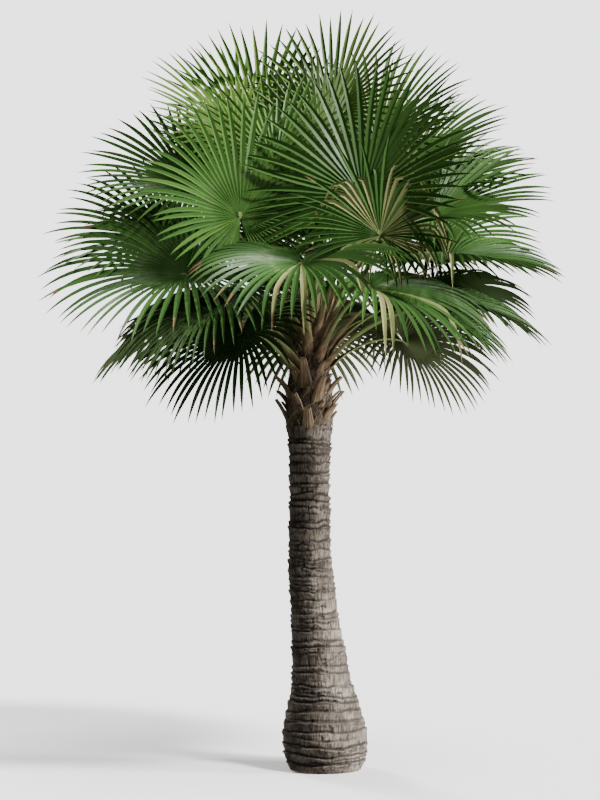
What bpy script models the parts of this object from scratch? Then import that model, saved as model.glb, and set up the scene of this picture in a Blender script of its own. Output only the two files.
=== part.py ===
"""A cabbage tree palm at its real size, in metres, with +Z up.

The origin is the middle of the flat cut under the trunk, at ground level, and -Y is the side that faces the
viewer. The trunk swells at its foot, leans and tapers to the growing tip. Cut leaf bases stand round its
upper end, and the fronds leave the tip above them: each is a petiole with a pleated fan of leaf segments.
Azimuths are in degrees from the viewer's side, positive towards +X, and rises are above the horizon.
"""

import math
import random
from collections import namedtuple

import bmesh
import bpy
from mathutils import Matrix, Vector
from mathutils.bvhtree import BVHTree

UP = Vector((0.0, 0.0, 1.0))
GAP = 0.0003  # clearance between two solids that meet
SMOOTH_BELOW = math.radians(35)  # edges that turn less than this are shaded smooth

# Finishes: colour and roughness
BARK = ((0.19, 0.15, 0.11), 0.9)
OLD_STRAP = ((0.24, 0.16, 0.09), 0.85)
LEAF = ((0.10, 0.19, 0.05), 0.5)
YOUNG_LEAF = ((0.20, 0.28, 0.09), 0.45)
GUIDE = ((0.50, 0.50, 0.50), 0.9)

# Trunk: height above the ground and radius. It is smoothed between these points.
TRUNK_OUTLINE = (
    (0.00, 0.300),
    (0.11, 0.332),
    (0.24, 0.350),
    (0.37, 0.338),
    (0.51, 0.302),
    (0.65, 0.264),
    (0.80, 0.238),
    (1.18, 0.203),
    (1.59, 0.186),
    (2.29, 0.165),
    (2.72, 0.178),
    (2.86, 0.192),
    (3.10, 0.184),
    (3.40, 0.152),
    (3.70, 0.108),
    (3.92, 0.052),
)
TRUNK_TOP = TRUNK_OUTLINE[-1][0]
TRUNK_LEAN = -0.133  # sideways shift of the stem's axis, reached between these two heights
LEAN_FROM, LEAN_TO = 0.10, 2.00
TRUNK_SIDES = 16
SCAR_COUNT = 24  # rings that fallen leaves left
SCAR_FROM, SCAR_TO = 0.13, 2.74
SCAR_LIP = 0.007  # how far a ring stands out
SCAR_STEP = 0.016  # height over which it falls back
STEM_LEVELS = (2.77, 2.88, 3.00, 3.12, 3.25, 3.40, 3.55, 3.70, 3.82, TRUNK_TOP)

# Leaf bases: straps left where old fronds were cut
BASE_COUNT = 14
BASE_FROM, BASE_TO = 2.80, 3.15
BASE_LENGTH = (0.17, 0.29)
BASE_WIDTH, BASE_TIP_WIDTH = 0.125, 0.056
BASE_THICKNESS, BASE_TIP_THICKNESS = 0.036, 0.024
BASE_TOP_WIDTH = 0.72  # width of a strap's upper face as a share of its lower one
BASE_LEAN, BASE_FLARE = 20.0, (34.0, 54.0)  # how far it leans out at its foot and at its tip
BASE_SWAY = 5.0  # how far it strays from the spiral
BASE_SPANS = 3
SHORTER_BASES = (1.0, 0.85, 0.7, 0.55, 0.4)  # tried in turn where a base would touch a petiole
GOLDEN_ANGLE = 180.0 * (3.0 - math.sqrt(5.0))

# Petioles
PETIOLE_FROM, PETIOLE_TO = 3.26, 3.80  # heights where the lowest and the most upright leave the stem
PETIOLE_WIDTH, PETIOLE_TIP_WIDTH = 0.046, 0.026
PETIOLE_THICKNESS, PETIOLE_TIP_THICKNESS = 0.028, 0.016
PETIOLE_UNDER_WIDTH = 0.6  # width of a petiole's lower face as a share of its upper one
PETIOLE_SPANS = 4
PETIOLE_LIFT, STEEPEST = 22.0, 68.0  # a petiole leaves the stem this much steeper than its chord, up to this
ROOT_DEPTH = 0.03  # how far a foot is sunk in the stem before it is cut to it

# Fans
HEART = Vector((TRUNK_LEAN, 0.0, 3.65))  # the point that the hubs are measured from
SEGMENTS = 20
FAN_HALF_ANGLE = 150.0
SIDE_SHORTER = 0.35  # how much shorter the segments beside the petiole are than the middle ones
CUP = 0.14  # how far a fan's segments rise from its plane
FOLD = 0.22  # how much further the side ones do
NOTCH = 0.37  # share of a segment's length at which it parts from its neighbours
BEND = 0.73  # share at which its free blade has its middle ring
PLEAT = 0.014  # height of a pleat's ridge
BLADE_THICKNESS = 0.011
BLADE_MID_WIDTH = 0.058
PATH_STEPS = 24
BREAK_FROM, BREAK_TO = 0.48, 0.62  # share at which a broken segment folds
BREAK_DROOP = 9.0  # how sharply it hangs

Frond = namedtuple("Frond", "hub azimuth rise radius droop roll broken")


def frond(hub, azimuth, rise, radius, droop, roll=0.0, broken=0.0):
    """One frond: its hub seen from the heart, and which way its fan points, turns over and droops."""
    return Frond(Vector(hub), azimuth, rise, radius, droop, roll, broken)


# The fronds that the viewer sees as a fan or an edge, from the top of the crown down
SHOWING = (
    frond((0.20, 0.25, 1.94), 160, 74, 0.95, 0.20),
    frond((-0.42, 0.35, 1.78), -170, 80, 1.02, 0.15),
    frond((-0.60, 0.10, 1.67), -104, 50, 1.00, 0.25, roll=-40),
    frond((0.57, 0.30, 1.67), 118, 60, 1.05, 0.25, roll=30),
    frond((0.10, -0.15, 1.55), 40, 80, 0.85, 0.20),
    frond((-0.28, -0.40, 1.36), -172, 76, 0.88, 0.25),
    frond((0.02, -0.50, 0.98), 150, 70, 0.80, 0.25),
    frond((-0.66, 0.40, 1.38), -116, 40, 0.75, 0.30, roll=-25),
    frond((0.85, 0.35, 1.45), 112, 42, 1.05, 0.30, roll=25),
    frond((1.03, 0.25, 1.24), 100, 24, 1.00, 0.35, roll=30),
    frond((-1.02, 0.10, 1.28), -98, 18, 0.98, 0.25, roll=-50),
    frond((0.43, -0.78, 1.01), 160, 76, 1.18, 0.30),
    frond((-0.56, -0.75, 0.86), -160, 76, 1.08, 0.35),
    frond((1.03, -0.25, 0.96), 84, 12, 1.05, 0.40, roll=39),
    frond((0.55, -1.04, 0.67), 172, 76, 0.84, 0.45, broken=0.60),
    frond((-1.18, -0.10, 0.74), -88, 10, 1.06, 0.45, roll=-45),
    frond((-0.07, -1.00, 0.46), -8, -28, 1.05, 0.90, broken=0.10),
    frond((1.13, -0.35, 0.55), 78, -4, 1.05, 0.70, roll=15, broken=0.10),
    frond((-1.00, -0.60, 0.42), -72, -12, 1.24, 0.80, roll=-35),
    frond((-0.70, -0.85, 0.14), -42, -30, 1.05, 1.30),
    frond((0.50, -0.85, 0.27), 38, -26, 1.12, 1.10, broken=0.25),
    frond((1.10, 0.10, 0.26), 92, -12, 1.05, 0.95, roll=15),
    frond((0.88, -0.50, 0.14), 62, -26, 0.90, 0.95),
    frond((-1.02, 0.15, 0.10), -100, -24, 1.02, 1.10, roll=-10),
    frond((-0.56, -0.60, -0.06), -30, -50, 1.02, 1.00),
    frond((1.05, 0.25, 0.80), 94, 2, 1.00, 0.55, roll=42),
)

# The fronds behind, spread evenly over the far side from the top of the crown down
BEHIND_COUNT = 18
BEHIND_SECTOR = (120.0, 242.0)
BEHIND_START, BEHIND_STRIDE = 0.60, 0.618034  # shares of the sector: the first one's place and each step on
BEHIND_RISE = (62.0, 0.0)
BEHIND_REACH = (1.90, 1.15)
BEHIND_RADIUS = 1.00
BEHIND_REFLEX = (6.0, 36.0)  # how much lower than the hub's own rise the fan points
BEHIND_DROOP = (0.45, 1.10)

# The spear leaf: share of its length and radius
SPEAR_LENGTH, SPEAR_AZIMUTH, SPEAR_TILT = 1.45, 20.0, 0.10
SPEAR_SIDES = 6
SPEAR_OUTLINE = ((0.0, 0.030), (0.25, 0.022), (0.55, 0.026), (0.80, 0.016), (1.0, 0.004))

# What is tried in turn where a leaf would touch another one: changes to the foot's azimuth and height, to
# the fan's rise and roll, and to a segment's droop, with the share of its length that is kept
FOOT_LIFTS = ((0, 0), (0, 0.04), (0, -0.04))
FOOT_SHIFTS = (*FOOT_LIFTS, (9, 0), (-9, 0), (9, 0.05), (-9, 0.05), (14, -0.05), (-14, -0.05))
FAN_TURNS = ((0, 0), (7, 0), (-7, 0), (0, 14), (0, -14), (12, 12), (-12, -12), (18, 0), (-18, 0), (20, -20))
FULL_LENGTH_DROOPS = ((0, 1), (0.35, 1), (-0.3, 1), (0.8, 1))
SEGMENT_CHANGES = (*FULL_LENGTH_DROOPS, (0, 0.85), (0.35, 0.85), (0, 0.72), (0.6, 0.72), (0, 0.56))


def mix(a, b, share):
    return a + (b - a) * share


def smoothstep(low, high, value):
    share = min(1.0, max(0.0, (value - low) / (high - low)))
    return share * share * (3.0 - 2.0 * share)


def direction(azimuth, rise):
    """The unit vector at an azimuth and a rise, in degrees."""
    a, r = math.radians(azimuth), math.radians(rise)
    return Vector((math.sin(a) * math.cos(r), -math.cos(a) * math.cos(r), math.sin(r)))


def azimuth_of(vector):
    return math.degrees(math.atan2(vector.x, -vector.y))


def rise_of(vector):
    return math.degrees(math.asin(vector.normalized().z))


def trunk_radius(height):
    """The trunk's radius at a height: a Catmull-Rom curve through the outline's points."""
    points = TRUNK_OUTLINE
    last = len(points) - 1
    index = next((i for i in range(last) if height <= points[i + 1][0]), last - 1)
    (z1, r1), (z2, r2) = points[index], points[index + 1]
    z0, r0 = points[max(index - 1, 0)]
    z3, r3 = points[min(index + 2, last)]
    slope1 = (r2 - r0) / (z2 - z0)
    slope2 = (r3 - r1) / (z3 - z1)
    span = z2 - z1
    t = (height - z1) / span
    return (
        (2 * t**3 - 3 * t**2 + 1) * r1
        + (t**3 - 2 * t**2 + t) * span * slope1
        + (3 * t**2 - 2 * t**3) * r2
        + (t**3 - t**2) * span * slope2
    )


def stem_axis(height):
    """The point on the trunk's own axis at a height."""
    return Vector((TRUNK_LEAN * smoothstep(LEAN_FROM, LEAN_TO, height), 0.0, height))


class Shape:
    """The points and faces of one closed solid, in the tree's own frame."""

    def __init__(self):
        self.points = []
        self.faces = []

    def add(self, point):
        self.points.append(point)
        return len(self.points) - 1

    def face(self, *corners):
        """One face. A bent one is split from its first corner, so every test sees the same triangles."""
        for second, third in zip(corners[1:], corners[2:]):
            self.faces.append((corners[0], second, third))

    def tube(self, rings, open_end=False):
        """Joins rings of as many points each, one after another, and closes the ends."""
        loops = [[self.add(point) for point in ring] for ring in rings]
        for first, second in zip(loops, loops[1:]):
            for i in range(len(first)):
                j = (i + 1) % len(first)
                self.face(first[i], first[j], second[j], second[i])
        self.face(*reversed(loops[0]))
        if not open_end:
            self.face(*loops[-1])
        return loops

    def tree(self, faces=None):
        """A search tree that tells which faces touch those of another one."""
        return BVHTree.FromPolygons(self.points, self.faces if faces is None else faces)

    def join(self, other):
        """Takes in another shape's points and faces, for one search tree over both."""
        start = len(self.points)
        self.points.extend(other.points)
        self.faces.extend(tuple(start + i for i in face) for face in other.faces)

    def solid(self, place):
        """The shape as a bmesh whose origin is the place."""
        bm = bmesh.new()
        corners = [bm.verts.new(point - place) for point in self.points]
        for face in self.faces:
            bm.faces.new([corners[i] for i in face])
        return bm


def finished(name, bm, finish, place=Vector()):
    """The bmesh as an object at its place, with its faces out and a material of its own."""
    colour, roughness = finish
    bmesh.ops.recalc_face_normals(bm, faces=bm.faces)
    mesh = bpy.data.meshes.new(name)
    bm.to_mesh(mesh)
    bm.free()
    mesh.shade_smooth()
    mesh.set_sharp_from_angle(angle=SMOOTH_BELOW)
    made = bpy.data.objects.new(name, mesh)
    made.location = place
    bpy.context.scene.collection.objects.link(made)
    material = bpy.data.materials.new(name)
    material.use_nodes = True
    shader = material.node_tree.nodes["Principled BSDF"]
    shader.inputs["Base Color"].default_value = (*colour, 1.0)
    shader.inputs["Roughness"].default_value = roughness
    shader.inputs["Metallic"].default_value = 0.0
    mesh.materials.append(material)
    return made


def turned_stem(levels, grow=0.0):
    """The trunk's outline turned round its axis. Levels are (height, radius), and grow widens them all."""
    bm = bmesh.new()
    rings = []
    for height, radius in levels:
        place = Matrix.Translation(stem_axis(height))
        is_end = height in (levels[0][0], levels[-1][0])
        ring = bmesh.ops.create_circle(
            bm, cap_ends=is_end, segments=TRUNK_SIDES, radius=radius + grow, matrix=place
        )
        rings.append(list({edge for vert in ring["verts"] for edge in vert.link_edges}))
    for lower, upper in zip(rings, rings[1:]):
        bmesh.ops.bridge_loops(bm, edges=lower + upper)
    return bm


def trunk_levels():
    """Heights and radii from the ground up: a lip and a step back for each scar, then the smooth stem."""
    draw = random.Random(5)
    levels = [(0.0, trunk_radius(0.0))]
    for index in range(SCAR_COUNT):
        height = mix(SCAR_FROM, SCAR_TO, (index + draw.uniform(0.0, 0.4)) / SCAR_COUNT)
        levels.append((height, trunk_radius(height) + SCAR_LIP * draw.uniform(0.6, 1.3)))
        levels.append((height + SCAR_STEP, trunk_radius(height + SCAR_STEP) - 0.3 * SCAR_LIP))
    return levels + [(height, trunk_radius(height)) for height in STEM_LEVELS]


def trunk():
    return finished("trunk", turned_stem(trunk_levels()), BARK)


def stem_clearance():
    """The upper stem grown by the gap. Leaf bases and petioles are cut with it, so they end at the bark."""
    levels = [(height, trunk_radius(height)) for height in STEM_LEVELS]
    cutter = finished("stem_clearance", turned_stem(levels, GAP), GUIDE)
    cutter.hide_render = True
    cutter.display_type = "WIRE"
    return cutter


def cut_to_stem(piece, cutter):
    cut = piece.modifiers.new("to_stem", "BOOLEAN")
    cut.operation = "DIFFERENCE"
    cut.object = cutter
    cut.solver = "EXACT"


def stem_root(azimuth, height):
    """The point under the bark where a petiole or a leaf base starts."""
    out = direction(azimuth, 0)
    return stem_axis(height) + out * (trunk_radius(height) - ROOT_DEPTH)


def leaf_base_shape(height, azimuth, length, flare):
    """One strap of an old petiole: it rises close to the stem, turns out and ends in a flat cut."""
    across = direction(azimuth, 0).cross(UP)
    point = stem_root(azimuth, height)
    rings = []
    for step in range(BASE_SPANS + 1):
        share = step / BASE_SPANS
        along = direction(azimuth, 90 - mix(BASE_LEAN, flare, share))
        if step:
            point = point + along * (length + ROOT_DEPTH) / BASE_SPANS
        over = across.cross(along)
        side = across * mix(BASE_WIDTH, BASE_TIP_WIDTH, share) / 2
        thick = over * mix(BASE_THICKNESS, BASE_TIP_THICKNESS, share) / 2
        top, under = point + thick, point - thick
        rings.append([top - side * BASE_TOP_WIDTH, top + side * BASE_TOP_WIDTH, under + side, under - side])
    shape = Shape()
    shape.tube(rings)
    return shape


def leaf_bases(placed, cutter):
    """The old leaf bases, in the spiral that they grew in. One that would touch a petiole is cut shorter."""
    draw = random.Random(100)
    for index in range(BASE_COUNT):
        height = mix(BASE_FROM, BASE_TO, index / (BASE_COUNT - 1))
        azimuth = index * GOLDEN_ANGLE + draw.uniform(-BASE_SWAY, BASE_SWAY)
        length = draw.uniform(*BASE_LENGTH)
        flare = draw.uniform(*BASE_FLARE)
        tree = placed.tree()
        shapes = (leaf_base_shape(height, azimuth, length * share, flare) for share in SHORTER_BASES)
        shape = next((one for one in shapes if not tree.overlap(one.tree())), None)
        if shape is not None:
            placed.join(shape)
            root = stem_root(azimuth, height)
            cut_to_stem(finished(f"leaf_base_{index + 1:02d}", shape.solid(root), OLD_STRAP, root), cutter)


def fan_axes(one):
    """A fan's own axes: along its middle, to its right and up from its upper face."""
    along = direction(one.azimuth, one.rise)
    across = Matrix.Rotation(math.radians(one.roll), 3, along) @ along.cross(UP).normalized()
    return along, across, across.cross(along)


def segment_path(one, angle, length, droop, break_at=None):
    """A segment's middle from the hub to its tip: at each point, the way along it and the way across it."""
    along, across, over = fan_axes(one)
    turn = math.radians(angle)
    flat = along * math.cos(turn) + across * math.sin(turn)
    start = (flat + over * (CUP + FOLD * math.sin(turn) ** 2)).normalized()
    sideways = across * math.cos(turn) - along * math.sin(turn)
    point, way = HEART + one.hub, start
    path = [(point, way, sideways)]
    for step in range(PATH_STEPS):
        share = (step + 0.5) / PATH_STEPS
        pull = droop * share * share
        if break_at is not None and share > break_at:
            pull += BREAK_DROOP * (share - break_at)
        turned = (start - UP * pull).normalized()
        sideways = way.rotation_difference(turned) @ sideways
        way = turned
        point = point + way * length / PATH_STEPS
        path.append((point, way, sideways))
    return path


def along_path(path, share):
    """The point, the way along and the way across at a share of a segment's length."""
    place = share * PATH_STEPS
    index = min(int(place), PATH_STEPS - 1)
    rest = place - index
    return tuple(a.lerp(b, rest) for a, b in zip(path[index], path[index + 1]))


def segment_length(one, angle):
    return one.radius * (1.0 - SIDE_SHORTER * (angle / FAN_HALF_ANGLE) ** 2)


def petiole_rings(one, foot_azimuth, foot_height):
    """Four-sided rings from under the bark to the hub, on one curve that leaves the stem steeply."""
    hub = HEART + one.hub
    along, across, over = fan_axes(one)
    root = stem_root(foot_azimuth, foot_height)
    chord = hub - root
    leave = direction(foot_azimuth, min(STEEPEST, rise_of(chord) + PETIOLE_LIFT))
    arrive = (chord.normalized() + along).normalized()
    reach = chord.length / 3
    controls = (root, root + leave * reach, hub - arrive * reach, hub)
    root_across = direction(foot_azimuth, 0).cross(UP)
    rings = []
    for step in range(PETIOLE_SPANS + 1):
        t = step / PETIOLE_SPANS
        a, b, c, d = controls
        middle = a * (1 - t) ** 3 + b * 3 * t * (1 - t) ** 2 + c * 3 * t * t * (1 - t) + d * t**3
        way = ((b - a) * (1 - t) ** 2 + (c - b) * 2 * t * (1 - t) + (d - c) * t * t).normalized()
        side = root_across.lerp(across, t)
        side = (side - way * side.dot(way)).normalized()
        top = side.cross(way)
        if step == PETIOLE_SPANS:
            side, top = across.copy(), over.copy()
        side *= mix(PETIOLE_WIDTH, PETIOLE_TIP_WIDTH, t) / 2
        top *= mix(PETIOLE_THICKNESS, PETIOLE_TIP_THICKNESS, t) / 2
        under_side = side * PETIOLE_UNDER_WIDTH
        upper, under = middle + top, middle - top
        rings.append([upper - side, upper + side, under + under_side, under - under_side])
    return rings


class Fan:
    """A frond's solid in the making: petiole and joined centre first, then its free segments."""

    def __init__(self, one, foot_azimuth, foot_height):
        self.one = one
        self.shape = Shape()
        self.foot = stem_root(foot_azimuth, foot_height)
        loops = self.shape.tube(petiole_rings(one, foot_azimuth, foot_height), open_end=True)
        self.left_top, self.right_top, self.right_under, self.left_under = loops[-1]
        self.valleys = [self.valley(edge) for edge in range(SEGMENTS + 1)]
        self.ridges = [self.ridge(index) for index in range(SEGMENTS)]
        self.close_centre()
        self.own_faces = list(self.shape.faces)
        self.core = Shape()
        self.core.join(self.shape)
        for index in range(SEGMENTS):
            self.core.face(*self.mouth(index))

    def edge_angle(self, edge):
        return FAN_HALF_ANGLE * (2 * edge / SEGMENTS - 1)

    def valley(self, edge):
        """The notch between two segments, as its upper and its lower point."""
        angle = self.edge_angle(edge)
        path = segment_path(self.one, angle, segment_length(self.one, angle), self.one.droop)
        point, way, sideways = along_path(path, NOTCH)
        over = sideways.cross(way).normalized()
        return self.shape.add(point + over * BLADE_THICKNESS), self.shape.add(point)

    def ridge(self, index):
        """The top of a segment's pleat, level with its notches."""
        angle = self.edge_angle(index + 0.5)
        path = segment_path(self.one, angle, segment_length(self.one, angle), self.one.droop)
        point, way, sideways = along_path(path, NOTCH)
        over = sideways.cross(way).normalized()
        return self.shape.add(point + over * (BLADE_THICKNESS + PLEAT))

    def close_centre(self):
        """The pleated disc round the hub, left and right of its middle, and its two straight edges."""
        face = self.shape.face
        middle = SEGMENTS // 2
        for index in range(SEGMENTS):
            upper = self.left_top if index < middle else self.right_top
            under = self.left_under if index < middle else self.right_under
            left_top, left_under, right_under, right_top, ridge = self.mouth(index)
            face(upper, left_top, ridge)
            face(upper, ridge, right_top)
            face(under, right_under, left_under)
        middle_top, middle_under = self.valleys[middle]
        face(self.left_top, middle_top, self.right_top)
        face(self.left_under, self.right_under, middle_under)
        first_top, first_under = self.valleys[0]
        last_top, last_under = self.valleys[-1]
        face(self.left_top, self.left_under, first_under, first_top)
        face(self.right_top, last_top, last_under, self.right_under)

    def mouth(self, index):
        """The five corners that a segment's free part grows from."""
        return (*self.valleys[index], *reversed(self.valleys[index + 1]), self.ridges[index])

    def segment(self, index, droop, shorter, break_at):
        """The free part of one segment, on top of the points so far, and the faces of its outer half."""
        angle = self.edge_angle(index + 0.5)
        path = segment_path(self.one, angle, segment_length(self.one, angle) * shorter, droop, break_at)
        point, way, sideways = along_path(path, max(BEND, NOTCH / shorter + 0.05))
        side = sideways.normalized() * BLADE_MID_WIDTH / 2
        over = sideways.cross(way).normalized() * BLADE_THICKNESS
        start = len(self.shape.points)
        part = Shape()
        part.points = self.shape.points + [point + over, point - side, point + side, path[-1][0]]
        top, left, right, tip = range(start, start + 4)
        left_top, left_under, right_under, right_top, ridge = self.mouth(index)
        part.face(top, left, tip)
        part.face(top, tip, right)
        part.face(left, right, tip)
        outer = list(part.faces)
        part.face(left_top, left, top, ridge)
        part.face(ridge, top, right, right_top)
        part.face(left_under, right_under, right, left)
        part.face(left_top, left_under, left)
        part.face(right_top, right, right_under)
        return part, outer

    def grow(self, index, break_at, others):
        """Adds a segment's free part, clear of the others, and returns it as a shape of its own."""
        own = BVHTree.FromPolygons(self.shape.points, self.own_faces)
        for more_droop, shorter in SEGMENT_CHANGES:
            part, outer = self.segment(index, self.one.droop + more_droop, shorter, break_at)
            if part.tree().overlap(others) or part.tree(outer).overlap(own):
                continue
            self.shape.points = list(part.points)
            self.shape.faces.extend(part.faces)
            self.own_faces.extend(outer)
            return part
        self.shape.face(*self.mouth(index))
        return Shape()


def behind():
    """The fronds on the far side, spread evenly from the top of the crown down."""
    listed = []
    for index in range(BEHIND_COUNT):
        share = index / (BEHIND_COUNT - 1)
        azimuth = mix(*BEHIND_SECTOR, (BEHIND_START + index * BEHIND_STRIDE) % 1.0)
        rise = mix(*BEHIND_RISE, share)
        hub = direction(azimuth, rise) * mix(*BEHIND_REACH, share)
        fan_rise = rise - mix(*BEHIND_REFLEX, share)
        listed.append(frond(hub, azimuth, fan_rise, BEHIND_RADIUS, mix(*BEHIND_DROOP, share)))
    return listed


def placed_fans(fronds, spear):
    """Petioles and joined centres first. One that would touch another is turned a little, or left out."""
    placed = Shape()
    placed.join(spear)
    fans = []
    rises = [rise_of(one.hub) for one in fronds]
    lowest, highest = min(rises), max(rises)
    for one in fronds:
        height = mix(PETIOLE_FROM, PETIOLE_TO, (rise_of(one.hub) - lowest) / (highest - lowest))
        azimuth = azimuth_of(one.hub)
        fan = clear_fan(one, azimuth, height, placed)
        if fan is not None:
            placed.join(fan.core)
            fans.append(fan)
    return fans


def clear_fan(one, azimuth, height, placed):
    """The frond in the first of its places where its petiole and centre are clear of all that is placed."""
    tree = placed.tree()
    for rise_turn, roll_turn in FAN_TURNS:
        turned = one._replace(rise=one.rise + rise_turn, roll=one.roll + roll_turn)
        for foot_turn, foot_lift in FOOT_SHIFTS:
            fan = Fan(turned, azimuth + foot_turn, min(height + foot_lift, PETIOLE_TO))
            if not tree.overlap(fan.core.tree()):
                return fan
    return None


def grow_segments(fans, spear):
    """The free segments. One that would touch a leaf droops more or less, or is shorter, or stays off."""
    free = [Shape() for fan in fans]
    for number, fan in enumerate(fans):
        draw = random.Random(number)
        others = Shape()
        others.join(spear)
        for other, (other_fan, parts) in enumerate(zip(fans, free)):
            if other != number:
                others.join(other_fan.core)
                others.join(parts)
        others_tree = others.tree()
        for index in range(SEGMENTS):
            breaks = draw.random() < fan.one.broken
            break_at = draw.uniform(BREAK_FROM, BREAK_TO)
            free[number].join(fan.grow(index, break_at if breaks else None, others_tree))


def fronds(spear, cutter):
    """Every frond's object, and the shape of all of them together with the spear leaf."""
    fans = placed_fans(list(SHOWING) + behind(), spear)
    grow_segments(fans, spear)
    together = Shape()
    together.join(spear)
    for number, fan in enumerate(fans):
        together.join(fan.shape)
        cut_to_stem(finished(f"frond_{number + 1:02d}", fan.shape.solid(fan.foot), LEAF, fan.foot), cutter)
    return together


def spear_leaf():
    """The youngest leaf, still folded, which stands on the tip of the stem."""
    foot = stem_axis(TRUNK_TOP) + UP * GAP
    rings = []
    for share, radius in SPEAR_OUTLINE:
        middle = foot + UP * SPEAR_LENGTH * share + direction(SPEAR_AZIMUTH, 0) * SPEAR_TILT * share * share
        corners = [direction(360 * side / SPEAR_SIDES, 0) * radius for side in range(SPEAR_SIDES)]
        rings.append([middle + corner for corner in corners])
    shape = Shape()
    shape.tube(rings)
    finished("spear_leaf", shape.solid(foot), YOUNG_LEAF, foot)
    return shape


def main():
    for existing in list(bpy.data.objects):
        bpy.data.objects.remove(existing)
    trunk()
    cutter = stem_clearance()
    spear = spear_leaf()
    leaves = fronds(spear, cutter)
    leaf_bases(leaves, cutter)


main()
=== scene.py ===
"""The looks of a cabbage tree palm: ringed bark, cut leaf bases, fibres and finely cut fan fronds.

Everything is in metres with +Z up, from the middle of the flat cut under the trunk. Azimuths are in degrees
from the viewer's side, positive towards +X. Every frond grows from its hub by the rule of its solid, with
narrower segments, and its blade replaces that solid.
"""

import math
import random
from collections import namedtuple

import bmesh
import bpy
import numpy as np
from mathutils import Matrix, Vector
from mathutils.bvhtree import BVHTree
from mathutils.kdtree import KDTree


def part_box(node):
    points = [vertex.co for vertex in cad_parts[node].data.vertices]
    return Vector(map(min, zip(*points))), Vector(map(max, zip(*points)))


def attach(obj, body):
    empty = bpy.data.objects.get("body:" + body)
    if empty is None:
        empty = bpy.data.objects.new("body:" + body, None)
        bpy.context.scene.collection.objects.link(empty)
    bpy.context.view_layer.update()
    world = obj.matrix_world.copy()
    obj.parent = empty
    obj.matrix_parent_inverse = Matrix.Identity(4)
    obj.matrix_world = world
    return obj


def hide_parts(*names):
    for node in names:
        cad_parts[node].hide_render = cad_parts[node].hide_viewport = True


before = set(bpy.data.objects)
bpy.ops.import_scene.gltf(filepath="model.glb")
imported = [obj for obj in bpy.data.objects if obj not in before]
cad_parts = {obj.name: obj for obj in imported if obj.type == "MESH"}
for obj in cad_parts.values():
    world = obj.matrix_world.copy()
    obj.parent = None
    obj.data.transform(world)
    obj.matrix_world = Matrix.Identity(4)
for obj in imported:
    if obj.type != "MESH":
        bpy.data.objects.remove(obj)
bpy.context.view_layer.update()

UP = Vector((0.0, 0.0, 1.0))
GOLDEN_ANGLE = 180.0 * (3.0 - math.sqrt(5.0))

# Trunk
TRUNK_OUTLINE = (
    *((0.00, 0.300), (0.11, 0.332), (0.24, 0.350), (0.37, 0.338), (0.51, 0.302), (0.65, 0.264)),
    *((0.80, 0.238), (1.18, 0.203), (1.59, 0.186), (2.29, 0.165), (2.72, 0.178), (2.86, 0.192)),
    *((3.10, 0.184), (3.40, 0.152), (3.70, 0.108), (3.92, 0.052)),
)
TRUNK_TOP = TRUNK_OUTLINE[-1][0]
TRUNK_LEAN = -0.133
LEAN_FROM, LEAN_TO = 0.10, 2.00
RING_FROM, RING_TO = 0.05, 2.87

# The bark's grid, with higher rows above the shaft, and its depth under the trunk's outline
BARK_COLUMNS, SHAFT_ROWS, TOP_ROWS = 208, 418, 44
SHAFT_TOP = 2.95
BARK_SINK = 0.002
# Where its relief ends, and how much is kept of the lumps there and of all relief at the cut
BARK_FADE, LUMPS_KEPT = (2.84, 2.94), 0.35
FOOT_FADE, FOOT_KEPT = (0.0, 0.03), 0.25

# Leaf scars: seed, number, how far a lip stands out and how much of a turn it takes
Rings = namedtuple("Rings", "seed count lip reach")
WHOLE_RINGS = Rings(11, 37, 0.019, 1.3)
PART_RINGS = Rings(31, 112, 0.009, 0.38)
# A scar's place in its step up the trunk, and how far its edge wanders, ripples and flakes
RING_PLACE = (0.12, 0.88)
RING_REACHES = (0.018, 0.011, 0.005)
RING_WAVES = (5, 17, 7, 37)  # round the trunk, for its wander, ripple, strength and flakes
RING_ENDS = 0.18
# How full a lip is as a rule, and what slow and quick waves add to that
LIP_SHARE, LIP_SLOW, LIP_QUICK, QUICK_SHIFT = 0.64, 0.28, 0.22, 0.37
LIP_SPREAD = (0.7, 1.2)
# A lip's height below and above its edge, and the groove over it, with how strong the painted shade in that
# groove is
LIP_BELOW, LIP_ABOVE = 0.028, 0.009
GROOVE_OPENS, GROOVE_CLOSES = (0.0, 0.006), (0.011, 0.032)
GROOVE_DEPTH, GROOVE_PAINTED_SHADE_GAIN = 0.42, 1.7

# The other relief: noise, as seed, columns and rows, and how far it moves the surface
LUMPS, LUMP_HEIGHT = (41, 6, 26), 0.006
SMALL_LUMPS, SMALL_LUMP_HEIGHT = (42, 15, 70), 0.003
BENDS, BEND_REACH = (46, 24, 90), 0.006
CRACKS, CRACK_EDGE, CRACK_DEPTH = (43, 74, 64), 0.82, 0.0060
FINE_CRACKS, FINE_CRACK_EDGE, FINE_CRACK_DEPTH = (44, 101, 130), 0.86, 0.0028
CRACK_GAPS, CRACK_GAP_EDGES = (47, 40, 120), (-0.35, 0.35)
GRAINS, GRAIN_HEIGHT = (45, 104, 420), 0.0018
# Painted shade: how dark the grooves and cracks are painted, and the bark under the leaf bases and at both
# ends
GROOVE_PAINTED_SHADE, PART_GROOVE_PAINTED_SHADE, CRACK_PAINTED_SHADE, CRACK_PAINTED_SHADE_EDGE = 0.95, 0.8, 0.85, 0.80
COVERED_PAINTED_SHADE, ENDS_PAINTED_SHADE = 0.55, 0.8

# Leaf bases
BASE_COUNT, BASE_SEED = 14, 100
BASE_FROM, BASE_TO = 2.80, 3.15
BASE_LENGTH = (0.17, 0.29)
BASE_WIDTH, BASE_TIP_WIDTH = 0.125, 0.056
BASE_THICKNESS, BASE_TIP_THICKNESS = 0.036, 0.024
BASE_LEAN, BASE_FLARE = 20.0, (34.0, 54.0)
BASE_SWAY = 5.0
SHORTER_BASES = (1.0, 0.85, 0.7, 0.55, 0.4)
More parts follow.
